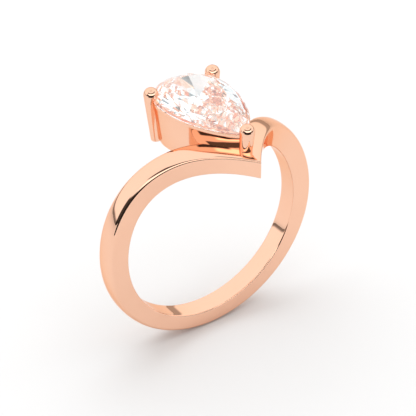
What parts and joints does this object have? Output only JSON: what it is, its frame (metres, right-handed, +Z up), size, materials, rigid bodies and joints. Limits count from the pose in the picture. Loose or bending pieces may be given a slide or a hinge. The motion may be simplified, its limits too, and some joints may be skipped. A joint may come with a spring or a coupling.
{
  "type": "engagement ring",
  "caption": "Chevron solitaire ring: a domed band rises to a V, and a tapered pear collet holds a pear-cut stone in round claws.",
  "frame": {"origin": "middle of the finger hole, on the band's own mid-plane", "axes": "+Z up through the stone, +Y along the finger away from the point of the chevron, +X across the stone to its right"},
  "size_m": [0.0202, 0.0123, 0.0221],
  "materials": {
    "rose_gold": "polished",
    "clear_stone": "polished"
  },
  "bodies": {
    "root": {"shank_arm_left": "rose_gold", "shank_arm_right": "rose_gold", "collet": "rose_gold", "seat_rim": "rose_gold", "claw_left": "rose_gold", "claw_right": "rose_gold", "claw_point": "rose_gold", "pear_stone": "clear_stone"}
  },
  "joints": []
}
